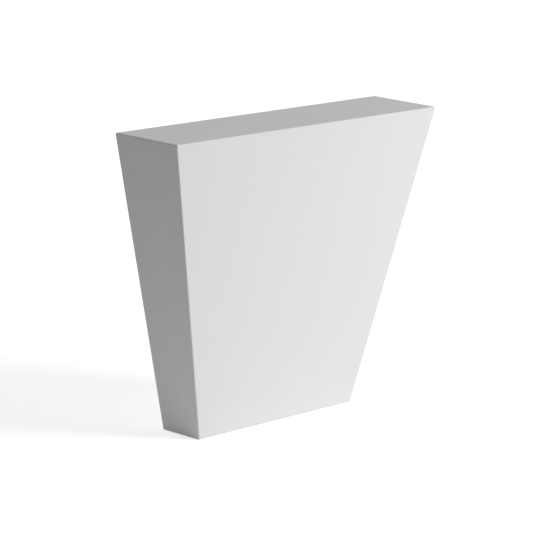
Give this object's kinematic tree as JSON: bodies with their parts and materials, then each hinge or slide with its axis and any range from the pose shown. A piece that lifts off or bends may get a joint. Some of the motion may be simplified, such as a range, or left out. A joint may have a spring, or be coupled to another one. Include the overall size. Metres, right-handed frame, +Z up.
{
  "type": "keystone",
  "caption": "Plain tapered keystone with a flat back, fixed to a wall at the middle of a window, door or arch head.",
  "frame": {"origin": "middle of the flat back, on the face of the wall", "axes": "+X along the wall, to the right as seen from in front; +Y into the wall; +Z up"},
  "size_m": [0.2884, 0.0634, 0.235],
  "materials": {
    "primer": "smooth matt white primer on rigid moulded polyurethane"
  },
  "bodies": {
    "root": {"keystone": "primer"}
  },
  "joints": []
}
